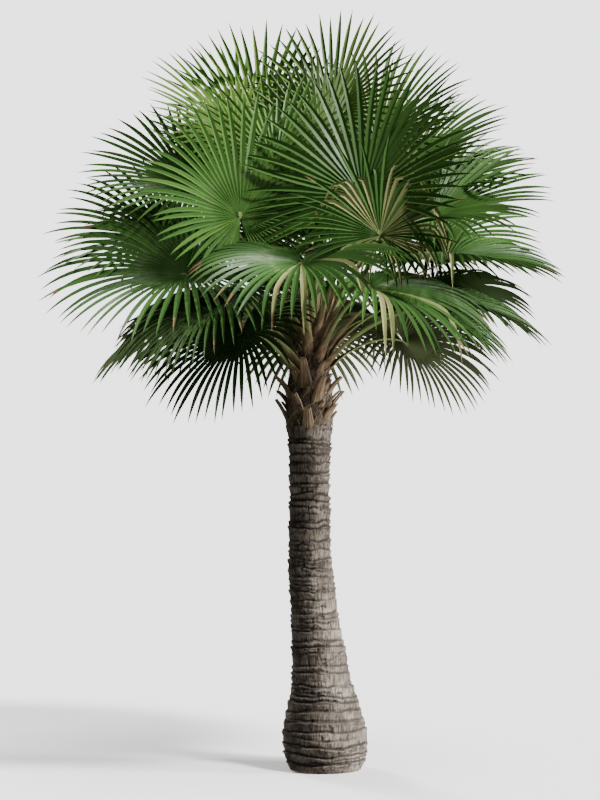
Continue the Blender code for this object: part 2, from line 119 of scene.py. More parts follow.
# Their finer look: spans, ribs, the wider foot, the hollow and rounded section, and the torn end
LOOKS_SEED = 7
BASE_SPANS, BASE_RIBS, BASE_RIB_HEIGHT = 12, 15, 0.0024
BASE_FOOT_WIDER, BASE_TAPER = 1.10, 0.8
BASE_MIDDLE, BASE_EDGES, BASE_ROUNDING = 0.15, 0.95, 0.85
BASE_TEARS = (-0.012, 0.004)
STUB_COUNT = 20
STUB_FROM, STUB_TO = 2.86, 3.28
STUB_LENGTH = (0.07, 0.15)
STUB_SIZE = 0.72  # a stub's width and thickness beside those of a leaf base
STUB_SWAY, STUB_FLARE = 12.0, (30.0, 62.0)

# Sheath fibres
FIBRE_COUNT, FIBRE_SEED = 900, 23
FIBRE_FROM, FIBRE_TO, FIBRE_CROWDING = 2.80, 3.62, 0.9
FIBRE_LENGTH, FIBRE_STEPS = (0.08, 0.26), 7
FIBRE_SLOPE = (25.0, 75.0)
FIBRE_WIDTH, FIBRE_THICKNESS = (0.0012, 0.0034), 0.0011
FIBRE_UPRIGHT = 0.6  # how much of its width also stands upright
FIBRE_LIFT = (0.001, 0.010)
LOOSE_SHARE, LOOSE_END = 0.3, (0.0, 0.030)

# Petioles
PETIOLE_FROM, PETIOLE_TO = 3.26, 3.80
PETIOLE_WIDTH, PETIOLE_THICKNESS = (0.046, 0.026), (0.028, 0.016)  # at its foot and at its hub
PETIOLE_SPANS = 4
PETIOLE_LIFT, STEEPEST = 22.0, 68.0
ROOT_DEPTH = 0.03

# Fans
HEART = Vector((TRUNK_LEAN, 0.0, 3.65))
SEGMENTS = 54
FAN_HALF_ANGLE = 150.0
FULL_HALF_ANGLE = 170.0  # the side segments close the fan behind its hub
SIDE_SHORTER = 0.35
CUP = 0.14
FOLD = 0.22
NOTCH = 0.37
PLEAT = 0.013
PATH_STEPS = 24
BREAK_FROM, BREAK_TO = 0.48, 0.62
BREAK_DROOP = 9.0

Frond = namedtuple("Frond", "hub azimuth rise radius droop roll broken")


def frond(hub, azimuth, rise, radius, droop, roll=0.0, broken=0.0):
    """One frond: its hub seen from the heart, and its fan's way, radius, droop, roll and broken share."""
    return Frond(Vector(hub), azimuth, rise, radius, droop, roll, broken)


# The fronds that show as a fan or an edge, roughly from the top of the crown down, and one more at the right
SHOWING = (
    frond((0.20, 0.25, 1.94), 160, 74, 0.95, 0.20),
    frond((-0.42, 0.35, 1.78), -170, 80, 1.02, 0.15),
    frond((-0.60, 0.10, 1.67), -104, 50, 1.00, 0.25, roll=-40),
    frond((0.57, 0.30, 1.67), 118, 60, 1.05, 0.25, roll=30),
    frond((0.10, -0.15, 1.55), 40, 80, 0.85, 0.20),
    frond((-0.28, -0.40, 1.36), -172, 76, 0.88, 0.25),
    frond((0.02, -0.50, 0.98), 150, 70, 0.80, 0.25),
    frond((-0.66, 0.40, 1.38), -116, 40, 0.75, 0.30, roll=-25),
    frond((0.85, 0.35, 1.45), 112, 42, 1.05, 0.30, roll=25),
    frond((1.03, 0.25, 1.24), 100, 24, 1.00, 0.35, roll=30),
    frond((-1.02, 0.10, 1.28), -98, 18, 0.98, 0.25, roll=-50),
    frond((0.43, -0.78, 1.01), 160, 76, 1.18, 0.30),
    frond((-0.56, -0.75, 0.86), -160, 76, 1.08, 0.35),
    frond((1.03, -0.25, 0.96), 84, 12, 1.05, 0.40, roll=39),
    frond((0.55, -1.04, 0.67), 172, 76, 0.84, 0.45, broken=0.60),
    frond((-1.18, -0.10, 0.74), -88, 10, 1.06, 0.45, roll=-45),
    frond((-0.07, -1.00, 0.46), -8, -28, 1.05, 0.90, broken=0.10),
    frond((1.13, -0.35, 0.55), 78, -4, 1.05, 0.70, roll=15, broken=0.10),
    frond((-1.00, -0.60, 0.42), -72, -12, 1.24, 0.80, roll=-35),
    frond((-0.70, -0.85, 0.14), -42, -30, 1.05, 1.30),
    frond((0.50, -0.85, 0.27), 38, -26, 1.12, 1.10, broken=0.25),
    frond((1.10, 0.10, 0.26), 92, -12, 1.05, 0.95, roll=15),
    frond((0.88, -0.50, 0.14), 62, -26, 0.90, 0.95),
    frond((-1.02, 0.15, 0.10), -100, -24, 1.02, 1.10, roll=-10),
    frond((-0.56, -0.60, -0.06), -30, -50, 1.02, 1.00),
    frond((1.05, 0.25, 0.80), 94, 2, 1.00, 0.55, roll=42),
)

# The fronds behind
BEHIND_COUNT = 18
BEHIND_SECTOR = (120.0, 242.0)
BEHIND_START, BEHIND_STRIDE = 0.60, 0.618034
BEHIND_RISE = (62.0, 0.0)
BEHIND_REACH = (1.90, 1.15)
BEHIND_RADIUS = 1.00
BEHIND_REFLEX = (6.0, 36.0)
BEHIND_DROOP = (0.45, 1.10)

# The turns of a fan (rise, roll) and the shifts of its foot (azimuth, height) that its solid may have taken
FAN_TURNS = ((0, 0), (7, 0), (-7, 0), (0, 14), (0, -14), (12, 12), (-12, -12), (18, 0), (-18, 0), (20, -20))
LIFTED_FEET, TURNED_FEET = ((0, 0), (0, 0.04), (0, -0.04)), ((9, 0), (-9, 0), (9, 0.05), (-9, 0.05))
FOOT_SHIFTS = (*LIFTED_FEET, *TURNED_FEET, (14, -0.05), (-14, -0.05))
# A solid's petiole corners are looked for from this span on, within this distance
MATCH_FROM, MATCH_WITHIN = 2, 0.0005

# Spear leaf
SPEAR_LENGTH, SPEAR_AZIMUTH, SPEAR_TILT = 1.45, 20.0, 0.10
SPEAR_OUTLINE = ((0.0, 0.030), (0.25, 0.022), (0.55, 0.026), (0.80, 0.016), (1.0, 0.004))
SPEAR_GAP = 0.0003
SPEAR_PLEATS, SPEAR_SPANS, SPEAR_TWIST = 9, 24, 50.0
SPEAR_FOLDS = ((0.92, 1.0), (0.62, 0.80))  # how far out a pleat's ridge and its valley lie
SPEAR_SEED = 3


def mix(a, b, share):
    return a + (b - a) * share


def smoothstep(low, high, value):
    share = min(1.0, max(0.0, (value - low) / (high - low)))
    return share * share * (3.0 - 2.0 * share)


def soft_steps(low, high, values):
    """smoothstep for a whole array."""
    share = np.clip((values - low) / (high - low), 0.0, 1.0)
    return share * share * (3.0 - 2.0 * share)


def direction(azimuth, rise):
    a, r = math.radians(azimuth), math.radians(rise)
    return Vector((math.sin(a) * math.cos(r), -math.cos(a) * math.cos(r), math.sin(r)))


def azimuth_of(vector):
    return math.degrees(math.atan2(vector.x, -vector.y))


def rise_of(vector):
    return math.degrees(math.asin(vector.normalized().z))


def trunk_radius(height):
    """The trunk's radius at a height: a Catmull-Rom curve through the outline's points."""
    points = TRUNK_OUTLINE
    last = len(points) - 1
    index = next((i for i in range(last) if height <= points[i + 1][0]), last - 1)
    (z1, r1), (z2, r2) = points[index], points[index + 1]
    z0, r0 = points[max(index - 1, 0)]
    z3, r3 = points[min(index + 2, last)]
    slope1 = (r2 - r0) / (z2 - z0)
    slope2 = (r3 - r1) / (z3 - z1)
    span = z2 - z1
    t = (height - z1) / span
    return (
        (2 * t**3 - 3 * t**2 + 1) * r1
        + (t**3 - 2 * t**2 + t) * span * slope1
        + (3 * t**2 - 2 * t**3) * r2
        + (t**3 - t**2) * span * slope2
    )


def stem_axis(height):
    return Vector((TRUNK_LEAN * smoothstep(LEAN_FROM, LEAN_TO, height), 0.0, height))


# Materials


def put(tree, node, values):
    """Gives a node's sockets their values, or links them where a value is another node's output."""
    for name, value in values.items():
        socket = node.inputs[name]
        if isinstance(value, bpy.types.NodeSocket):
            tree.links.new(value, socket)
        else:
            socket.default_value = (*value, 1.0) if socket.type == "RGBA" else value
    return node


def plain_material(name, colour, roughness):
    """A Principled material, its node tree and its shader, to build on."""
    made = bpy.data.materials.new(name)
    made.use_nodes = True
    shader = made.node_tree.nodes["Principled BSDF"]
    put(made.node_tree, shader, {"Base Color": colour, "Roughness": roughness})
    return made, made.node_tree, shader


def noise(tree, scale, stretch=(1.0, 1.0, 1.0), detail=4.0, coordinates="Object"):
    """A noise texture over the object's own space or its UV map, stretched by a scale for each axis."""
    place = tree.nodes.new("ShaderNodeTexCoord").outputs[coordinates]
    mapping = put(tree, tree.nodes.new("ShaderNodeMapping"), {"Vector": place, "Scale": stretch})
    values = {"Vector": mapping.outputs["Vector"], "Scale": scale, "Detail": detail}
    return put(tree, tree.nodes.new("ShaderNodeTexNoise"), values).outputs["Fac"]


def ramp(tree, source, stops):
    """A colour ramp over a value. Stops are (place, colour)."""
    made = tree.nodes.new("ShaderNodeValToRGB")
    elements = made.color_ramp.elements
    while len(elements) < len(stops):
        elements.new(0.5)
    for element, (place, colour) in zip(elements, stops):
        element.position = place
        element.color = (*colour, 1.0)
    return put(tree, made, {"Fac": source}).outputs["Color"]


# The Mix node's sockets for colours, which share their names with those for numbers
MIX_SHARE, MIX_FIRST, MIX_SECOND, MIX_RESULT = 0, 6, 7, 2


def blended(tree, mode, share, first, second):
    """Two colours mixed by a blend mode. Each value is given or is another node's output."""
    made = tree.nodes.new("ShaderNodeMix")
    made.data_type = "RGBA"
    made.blend_type = mode
    return put(tree, made, {MIX_SHARE: share, MIX_FIRST: first, MIX_SECOND: second}).outputs[MIX_RESULT]


def ranged(tree, source, low, high):
    """A value from 0 to 1 spread over another range."""
    values = {"Value": source, "To Min": low, "To Max": high}
    return put(tree, tree.nodes.new("ShaderNodeMapRange"), values).outputs["Result"]


def bumped(tree, shader, layers):
    """Bump nodes in a row. Layers are (height, strength, distance)."""
    normal = {}
    for height, strength, distance in layers:
        values = {"Height": height, "Strength": strength, "Distance": distance, **normal}
        normal = {"Normal": put(tree, tree.nodes.new("ShaderNodeBump"), values).outputs["Normal"]}
    put(tree, shader, normal)


def bark_material():
    made, tree, shader = plain_material("bark", (0.19, 0.15, 0.11), 0.9)
    # A per-point attribute that holds painted shade for the grooves, cracks, covered bark and trunk ends
    painted_shade = tree.nodes.new("ShaderNodeAttribute")
    painted_shade.attribute_name = "painted_shade"
    stains = ((0.28, (0.080, 0.062, 0.046)), (0.48, (0.175, 0.143, 0.110)), (0.70, (0.320, 0.280, 0.230)))
    patches = ramp(tree, noise(tree, 5.0, detail=6.0), stains)
    shades = ((0.38, (0.22, 0.19, 0.16)), (0.57, (1.0, 1.0, 1.0)))
    streaks = ramp(tree, noise(tree, 1.0, (70.0, 70.0, 9.0), 5.0), shades)
    surface = blended(tree, "MULTIPLY", 0.85, patches, streaks)
    lichen = ramp(tree, noise(tree, 13.0, detail=7.0), ((0.60, (0.0, 0.0, 0.0)), (0.72, (1.0, 1.0, 1.0))))
    surface = blended(tree, "MIX", ranged(tree, lichen, 0.0, 0.28), surface, (0.34, 0.34, 0.27))
    # Painted shade: near black mixed into the bark by that attribute
    surface = blended(tree, "MIX", painted_shade.outputs["Fac"], surface, (0.016, 0.011, 0.008))
    put(tree, shader, {"Base Color": surface})
    fissures = noise(tree, 1.0, (85.0, 85.0, 10.0), 6.0)
    wrinkles = noise(tree, 1.0, (7.0, 7.0, 120.0), 4.0)
    grains = noise(tree, 190.0, detail=3.0)
    bumped(tree, shader, ((wrinkles, 0.45, 0.003), (fissures, 0.85, 0.006), (grains, 0.35, 0.0012)))
    return made


def strap_material(name, dark, light):
    """Dry fibrous straps: fine streaks along their length, which runs with the V coordinate."""
    made, tree, shader = plain_material(name, light, 0.82)
    streaks = noise(tree, 1.0, (34.0, 2.2, 1.0), 6.0, "UV")
    blotches = noise(tree, 9.0, detail=5.0)
    colour = ramp(tree, streaks, ((0.30, dark), (0.68, light)))
    shade = ramp(tree, blotches, ((0.35, (0.55, 0.50, 0.46)), (0.65, (1.0, 1.0, 1.0))))
    put(tree, shader, {"Base Color": blended(tree, "MULTIPLY", 0.8, colour, shade)})
    bumped(tree, shader, ((streaks, 0.8, 0.003), (noise(tree, 120.0), 0.3, 0.001)))
    return made


def fibre_material(name, colour):
    """One brown, finely rough all over."""
    made, tree, shader = plain_material(name, colour, 0.85)
    bumped(tree, shader, ((noise(tree, 260.0), 0.4, 0.0008),))
    return made


# How strongly a leaf mirrors, and how far its roughness swings either way
LEAF_SPECULAR = 0.12
GLOSS_SWING = (-0.10, 0.14)


def leaf_material(name, colour, roughness, veins=0.22):
    """One green, with fine veins along the segment and a gloss that changes over the leaf."""
    made, tree, shader = plain_material(name, colour, roughness)
    gloss = ranged(tree, noise(tree, 14.0, detail=3.0), *(roughness + swing for swing in GLOSS_SWING))
    put(tree, shader, {"Specular IOR Level": LEAF_SPECULAR, "Roughness": gloss})
    ribs = noise(tree, 1.0, (26.0, 0.6, 1.0), 3.0, "UV")
    bumped(tree, shader, ((ribs, veins, 0.0016),))
    return made


# Meshes


def new_object(name, data):
    made = bpy.data.objects.new(name, data)
    bpy.context.scene.collection.objects.link(made)
    return made


class Piece:
    """Points, faces and finishes gathered for one joined mesh."""

    def __init__(self):
        self.points, self.uvs, self.faces, self.finishes = [], [], [], []

    def add(self, point, u=0.0, v=0.0):
        self.points.append(point)
        self.uvs.append((u, v))
        return len(self.points) - 1

    def face(self, finish, *corners):
        self.faces.append(corners)
        self.finishes.append(finish)

    def tube(self, rings, finish, v_scale=1.0):
        """Rings of as many points each, joined one after another, with both ends closed."""
        loops = []
        for step, ring in enumerate(rings):
            v = v_scale * step / (len(rings) - 1)
            loops.append([self.add(point, i / len(ring), v) for i, point in enumerate(ring)])
        for first, second in zip(loops, loops[1:]):
            for i in range(len(first)):
                j = (i + 1) % len(first)
                self.face(finish, first[i], first[j], second[j], second[i])
        self.face(finish, *reversed(loops[0]))
        self.face(finish, *loops[-1])

    def finished(self, name, finishes, sharp, nodes=()):
        """The mesh object with its materials. It rides on the tree and stands for the nodes."""
        mesh = bpy.data.meshes.new(name)
        mesh.from_pydata([tuple(point) for point in self.points], [], self.faces)
        for finish in finishes:
            mesh.materials.append(finish)
        mesh.polygons.foreach_set("material_index", self.finishes)
        layer = mesh.uv_layers.new(name="UVMap")
        corners = np.empty(len(mesh.loops), np.int32)
        mesh.loops.foreach_get("vertex_index", corners)
        layer.data.foreach_set("uv", np.array(self.uvs, np.float32)[corners].ravel())
        mesh.shade_smooth()
        mesh.set_sharp_from_angle(angle=math.radians(sharp))
        mesh.validate()
        made = new_object(name, mesh)
        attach(made, "root")
        if nodes:
            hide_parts(*nodes)
        return made


# Trunk


class Waves:
    """Smooth noise on a grid that closes on itself sideways, drawn once from a seed."""

    def __init__(self, seed, columns, rows):
        self.grid = np.random.default_rng(seed).uniform(-1.0, 1.0, (rows + 2, columns))

    def at(self, across, up):
        """Values for across from 0 to 1 round the trunk and up from 0 to 1 along it."""
        rows, columns = self.grid.shape
        x, y = np.asarray(across) * columns, np.clip(up, 0.0, 1.0) * (rows - 2)
        column, row = np.floor(x).astype(int), np.floor(y).astype(int)
        a, b = x - column, y - row
        a, b = a * a * (3 - 2 * a), b * b * (3 - 2 * b)
        left, right = column % columns, (column + 1) % columns
        low = self.grid[row, left] * (1 - a) + self.grid[row, right] * a
        high = self.grid[row + 1, left] * (1 - a) + self.grid[row + 1, right] * a
        return low * (1 - b) + high * b


def ring_relief(across, heights, rings):
    """How far leaf scars stand out, and how dark the groove over each one is painted as shade, from 0 to 1.
    """
    draw = np.random.default_rng(rings.seed)
    wander, ripple, strength, flake = (
        Waves(rings.seed + step, columns, rings.count) for step, columns in enumerate(RING_WAVES, 1)
    )
    out = np.zeros_like(heights)
    painted_shade = np.zeros_like(heights)
    for index in range(rings.count):
        share = (index + draw.uniform(*RING_PLACE)) / rings.count
        centre = draw.uniform(0.0, 1.0)
        here = np.full_like(across, share)
        edge = mix(RING_FROM, RING_TO, share)
        for reach, waves in zip(RING_REACHES, (wander, ripple, flake)):
            edge = edge + reach * waves.at(across, here)
        away = np.abs((across - centre + 0.5) % 1.0 - 0.5) * 2.0
        extent = 1.0 - soft_steps(rings.reach - RING_ENDS, rings.reach, away)
        slow, quick = strength.at(across, here), flake.at(across + QUICK_SHIFT, here)
        full = LIP_SHARE + LIP_SLOW * slow + LIP_QUICK * quick
        full = rings.lip * full * extent * draw.uniform(*LIP_SPREAD)
        over = heights - edge
        rising = np.exp(np.minimum(over, 0.0) / LIP_BELOW) * (over <= 0.0)
        falling = (1.0 - soft_steps(0.0, LIP_ABOVE, over)) * (over > 0.0)
        dip = soft_steps(*GROOVE_OPENS, over) * (1.0 - soft_steps(*GROOVE_CLOSES, over)) * (over > 0.0)
        out += full * (rising + falling) - GROOVE_DEPTH * full * dip
        # Painted shade in the groove, as strong as the lip over it
        painted_shade = np.maximum(painted_shade, dip * np.clip(GROOVE_PAINTED_SHADE_GAIN * full / rings.lip, 0.0, 1.0))
    return out, painted_shade


def bark_relief(across, heights):
    """How far out the bark lies, and the painted shade in its grooves and cracks and on the bark under the
    leaf bases, from 0 to 1.
    """
    up = heights / TRUNK_TOP
    rings, painted_shade = ring_relief(across, heights, WHOLE_RINGS)
    part_rings, part_painted_shade = ring_relief(across, heights, PART_RINGS)
    lumps = LUMP_HEIGHT * Waves(*LUMPS).at(across, up)
    lumps = lumps + SMALL_LUMP_HEIGHT * Waves(*SMALL_LUMPS).at(across, up)
    bent = across + BEND_REACH * Waves(*BENDS).at(across, up)
    crack = 1.0 - np.abs(Waves(*CRACKS).at(bent, up))
    fine = 1.0 - np.abs(Waves(*FINE_CRACKS).at(bent, up))
    crack *= soft_steps(*CRACK_GAP_EDGES, Waves(*CRACK_GAPS).at(across, up))
    cracks = CRACK_DEPTH * soft_steps(CRACK_EDGE, 1.0, crack)
    cracks = cracks + FINE_CRACK_DEPTH * soft_steps(FINE_CRACK_EDGE, 1.0, fine)
    grain = GRAIN_HEIGHT * Waves(*GRAINS).at(bent, up)
    fade = 1.0 - soft_steps(*BARK_FADE, heights)
    relief = fade * (rings + part_rings - cracks) + lumps * mix(LUMPS_KEPT, 1.0, fade) + grain
    relief = relief * mix(FOOT_KEPT, 1.0, soft_steps(*FOOT_FADE, heights))
    # Painted shade, darkest in the ring grooves and the cracks
    dark = np.maximum(painted_shade, part_painted_shade * PART_GROOVE_PAINTED_SHADE) * GROOVE_PAINTED_SHADE
    dark = np.clip(dark + soft_steps(CRACK_PAINTED_SHADE_EDGE, 1.0, crack) * CRACK_PAINTED_SHADE, 0.0, 1.0)
    # Above the relief, where the leaf bases cover the bark, an even painted shade instead
    return relief, np.maximum(dark * fade, COVERED_PAINTED_SHADE * (1.0 - fade))


def bark():
    """The trunk with its rings, cracks and lumps, in place of its smoother solid."""
    shaft = np.linspace(0.0, SHAFT_TOP, SHAFT_ROWS)
    levels = np.concatenate([shaft, np.linspace(SHAFT_TOP, TRUNK_TOP, TOP_ROWS + 1)[1:]])
    across, heights = np.meshgrid(np.arange(BARK_COLUMNS) / BARK_COLUMNS, levels)
    relief, dark = bark_relief(across, heights)
    base = np.array([trunk_radius(z) for z in levels])[:, None]
    lean = np.array([stem_axis(z).x for z in levels])[:, None]
    radius = base - BARK_SINK + relief
    angle = across * 2.0 * math.pi
    grid = np.stack([lean + radius * np.sin(angle), -radius * np.cos(angle), heights], axis=-1)
    piece = Piece()
    for point, u, v in zip(grid.reshape(-1, 3), across.ravel(), (heights / TRUNK_TOP).ravel()):
        piece.add(Vector(point), u, v)
    for row in range(len(levels) - 1):
        for column in range(BARK_COLUMNS):
            beside = (column + 1) % BARK_COLUMNS
            low, high = row * BARK_COLUMNS, (row + 1) * BARK_COLUMNS
            piece.face(0, low + column, low + beside, high + beside, high + column)
    foot_centre = piece.add(Vector((0.0, 0.0, 0.0)))
    top_centre = piece.add(stem_axis(TRUNK_TOP))
    top = (len(levels) - 1) * BARK_COLUMNS
    for column in range(BARK_COLUMNS):
        beside = (column + 1) % BARK_COLUMNS
        piece.face(0, foot_centre, beside, column)
        piece.face(0, top_centre, top + column, top + beside)
    made = piece.finished("trunk_bark", [bark_material()], sharp=180.0, nodes=["trunk"])
    # Painted shade at every point, and an even painted shade at the centres of both end caps
    values = np.concatenate([dark.ravel(), [ENDS_PAINTED_SHADE, ENDS_PAINTED_SHADE]]).astype(np.float32)
    made.data.attributes.new("painted_shade", "FLOAT", "POINT").data.foreach_set("value", values)


# Leaf bases and fibres


def stem_root(azimuth, height):
    return stem_axis(height) + direction(azimuth, 0) * (trunk_radius(height) - ROOT_DEPTH)


def base_frames(azimuth, height, length, flare, spans):
    """The middle of a leaf base at each step, with the ways across it and up from its upper face."""
    across = direction(azimuth, 0).cross(UP)
    point = stem_root(azimuth, height)
    frames = []
    for step in range(spans + 1):
        share = step / spans
        along = direction(azimuth, 90 - mix(BASE_LEAN, flare, share))
        if step:
            point = point + along * (length + ROOT_DEPTH) / spans
        frames.append((share, point.copy(), across, across.cross(along), along))
    return frames


def leaf_base(piece, azimuth, height, length, flare, draw, size=1.0):
    """One cut strap: hollow above, rounded below, ribbed along its length and torn at its end."""
    count = 2 * BASE_RIBS
    ribs = [draw.uniform(-1.0, 1.0) for _ in range(count)]
    torn = [draw.uniform(*BASE_TEARS) for _ in range(count)]
    rings = []
    for share, middle, across, over, along in base_frames(azimuth, height, length, flare, BASE_SPANS):
        half = size * mix(BASE_WIDTH * BASE_FOOT_WIDER, BASE_TIP_WIDTH, share**BASE_TAPER) / 2
        thick = size * mix(BASE_THICKNESS, BASE_TIP_THICKNESS, share) / 2
        ring = []
        for i in range(count):
            place = (min(i, count - 1 - i) + 0.5) / BASE_RIBS
            u = 2 * place - 1
            if i < BASE_RIBS:
                rise = thick * (BASE_MIDDLE + BASE_EDGES * u * u)
            else:
                rise = -thick * (1.0 - BASE_ROUNDING * u * u)
            point = middle + across * u * half + over * (rise + ribs[i] * BASE_RIB_HEIGHT)
            if share == 1.0:
                point = point + along * torn[i]
            ring.append(point)
        rings.append(ring[::-1])
    piece.tube(rings, 0, length * 3)


def leaf_bases():
    """The cut leaf bases in the spiral of their solids, each as long as its solid, and stubs among them."""
    draw = random.Random(BASE_SEED)
    looks = random.Random(LOOKS_SEED)
    piece = Piece()
    nodes = []
    for index in range(BASE_COUNT):
        height = mix(BASE_FROM, BASE_TO, index / (BASE_COUNT - 1))
        azimuth = index * GOLDEN_ANGLE + draw.uniform(-BASE_SWAY, BASE_SWAY)
        length = draw.uniform(*BASE_LENGTH)
        flare = draw.uniform(*BASE_FLARE)
        node = f"leaf_base_{index + 1:02d}"
        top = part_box(node)[1].z
        ends = [base_frames(azimuth, height, length * share, flare, 3)[-1][1].z for share in SHORTER_BASES]
        share = min(zip(SHORTER_BASES, ends), key=lambda pair: abs(pair[1] - top))[0]
        leaf_base(piece, azimuth, height, length * share, flare, looks)
        nodes.append(node)
    for index in range(STUB_COUNT):
        height = mix(STUB_FROM, STUB_TO, (index + looks.random()) / STUB_COUNT)
        azimuth = (index + 0.5) * GOLDEN_ANGLE + looks.uniform(-STUB_SWAY, STUB_SWAY)
        length = looks.uniform(*STUB_LENGTH)
        flare = looks.uniform(*STUB_FLARE)
        leaf_base(piece, azimuth, height, length, flare, looks, STUB_SIZE)
    material = strap_material("leaf_base", (0.055, 0.034, 0.018), (0.35, 0.255, 0.150))
    piece.finished("cut_leaf_bases", [material], sharp=40.0, nodes=nodes)


def fibres():
    """Brown leaf-sheath fibres that cross each other round the upper stem, some with a loose end."""
    draw = random.Random(FIBRE_SEED)
    piece = Piece()
    for index in range(FIBRE_COUNT):
        height = mix(FIBRE_FROM, FIBRE_TO, draw.random() ** FIBRE_CROWDING)
        azimuth = draw.uniform(0.0, 360.0)
        turning = draw.choice((-1, 1))
        slope = math.radians(draw.uniform(*FIBRE_SLOPE))
        length = draw.uniform(*FIBRE_LENGTH)
        lift = draw.uniform(*FIBRE_LIFT)
        loose = draw.uniform(*LOOSE_END) if draw.random() < LOOSE_SHARE else 0.0
        width = draw.uniform(*FIBRE_WIDTH)
        rings = []
        for step in range(FIBRE_STEPS + 1):
            share = step / FIBRE_STEPS
            z = height + length * share * math.sin(slope)
            radius = trunk_radius(min(z, TRUNK_TOP)) + lift + loose * share * share
            turn = turning * math.cos(slope) * length * share
            out = direction(azimuth + math.degrees(turn / radius), 0)
            middle = stem_axis(z) + out * radius
            side = out.cross(UP) * width * math.sin(slope) + UP * width * FIBRE_UPRIGHT
            thick = out * FIBRE_THICKNESS
            rings.append([middle - side, middle - thick, middle + side, middle + thick])
        piece.tube(rings, index % 3)
    browns = {"brown": (0.170, 0.105, 0.058), "dark": (0.060, 0.037, 0.022), "light": (0.360, 0.270, 0.165)}
    finishes = [fibre_material(f"fibre_{name}", colour) for name, colour in browns.items()]
    piece.finished("sheath_fibres", finishes, sharp=60.0)


# Fronds


def fan_axes(one):
    along = direction(one.azimuth, one.rise)
    across = Matrix.Rotation(math.radians(one.roll), 3, along) @ along.cross(UP).normalized()
    return along, across, across.cross(along)


def segment_path(one, angle, length, droop, break_at=None, veer=0.0):
    """A segment's middle from the hub to its tip: at each point, the way along it and the way across it."""
    along, across, over = fan_axes(one)
    turn = math.radians(angle)
    flat = along * math.cos(turn) + across * math.sin(turn)
    start = (flat + over * (CUP + FOLD * math.sin(turn) ** 2)).normalized()
    sideways = across * math.cos(turn) - along * math.sin(turn)
    first_side = sideways.copy()
    point, way = HEART + one.hub, start
    path = [(point, way, sideways)]
    for step in range(PATH_STEPS):
        share = (step + 0.5) / PATH_STEPS
        pull = droop * share * share
        if break_at is not None and share > break_at:
            pull += BREAK_DROOP * (share - break_at)
        bend = veer * smoothstep(NOTCH, 1.0, share)
        turned = (start + first_side * bend - UP * pull).normalized()
        sideways = way.rotation_difference(turned) @ sideways
        way = turned
        point = point + way * length / PATH_STEPS
        path.append((point, way, sideways))
    return path


def along_path(path, share):
    place = min(share, 1.0) * PATH_STEPS
    index = min(int(place), PATH_STEPS - 1)
    rest = place - index
    return tuple(a.lerp(b, rest) for a, b in zip(path[index], path[index + 1]))


def segment_length(one, angle):
    return one.radius * (1.0 - SIDE_SHORTER * (angle / FAN_HALF_ANGLE) ** 2)


def petiole_frames(one, foot_azimuth, foot_height, spans):
    """Middle, side and top directions of a petiole at each step from under the bark to the hub."""
    hub = HEART + one.hub
    along, across, over = fan_axes(one)
    root = stem_root(foot_azimuth, foot_height)
    chord = hub - root
    leave = direction(foot_azimuth, min(STEEPEST, rise_of(chord) + PETIOLE_LIFT))
    arrive = (chord.normalized() + along).normalized()
    reach = chord.length / 3
    a, b, c, d = root, root + leave * reach, hub - arrive * reach, hub
    root_across = direction(foot_azimuth, 0).cross(UP)
    frames = []
    for step in range(spans + 1):
        t = step / spans
        middle = a * (1 - t) ** 3 + b * 3 * t * (1 - t) ** 2 + c * 3 * t * t * (1 - t) + d * t**3
        way = ((b - a) * (1 - t) ** 2 + (c - b) * 2 * t * (1 - t) + (d - c) * t * t).normalized()
        side = root_across.lerp(across, t)
        side = (side - way * side.dot(way)).normalized()
        top = side.cross(way)
        if step == spans:
            side, top = across.copy(), over.copy()
        frames.append((t, middle, side, top))
    return frames


def standing(one, node, height):
    """The frond with the turn and the foot that its solid took: the try whose petiole corners are there."""
    tree = KDTree(len(node.data.vertices))
    for index, vert in enumerate(node.data.vertices):
        tree.insert(vert.co, index)
    tree.balance()
    azimuth = azimuth_of(one.hub)
    for rise_turn, roll_turn in FAN_TURNS:
        turned = one._replace(rise=one.rise + rise_turn, roll=one.roll + roll_turn)
        for foot_turn, foot_lift in FOOT_SHIFTS:
            foot = azimuth + foot_turn, min(height + foot_lift, PETIOLE_TO)
            misses = []
            for t, middle, side, top in petiole_frames(turned, *foot, PETIOLE_SPANS)[MATCH_FROM:]:
                width, thick = mix(*PETIOLE_WIDTH, t) / 2, mix(*PETIOLE_THICKNESS, t) / 2
                misses += [tree.find(middle + top * thick + side * s * width)[2] for s in (-1, 1)]
            if max(misses) < MATCH_WITHIN:
                return turned, foot
    raise ValueError(f"no try of the rule fits {node.name}")


def behind():
    """The fronds on the far side, spread evenly from the top of the crown down."""
    listed = []
    for index in range(BEHIND_COUNT):
        share = index / (BEHIND_COUNT - 1)
        azimuth = mix(*BEHIND_SECTOR, (BEHIND_START + index * BEHIND_STRIDE) % 1.0)
        rise = mix(*BEHIND_RISE, share)
        hub = direction(azimuth, rise) * mix(*BEHIND_REACH, share)
        fan_rise = rise - mix(*BEHIND_REFLEX, share)
        listed.append(frond(hub, azimuth, fan_rise, BEHIND_RADIUS, mix(*BEHIND_DROOP, share)))
    return listed


# How far a centre goes past its notches, and how far from a petiole's points its solid reaches
CENTRE_MARGIN, PETIOLE_NEAR, PETIOLE_POINTS = 0.02, 0.08, 12


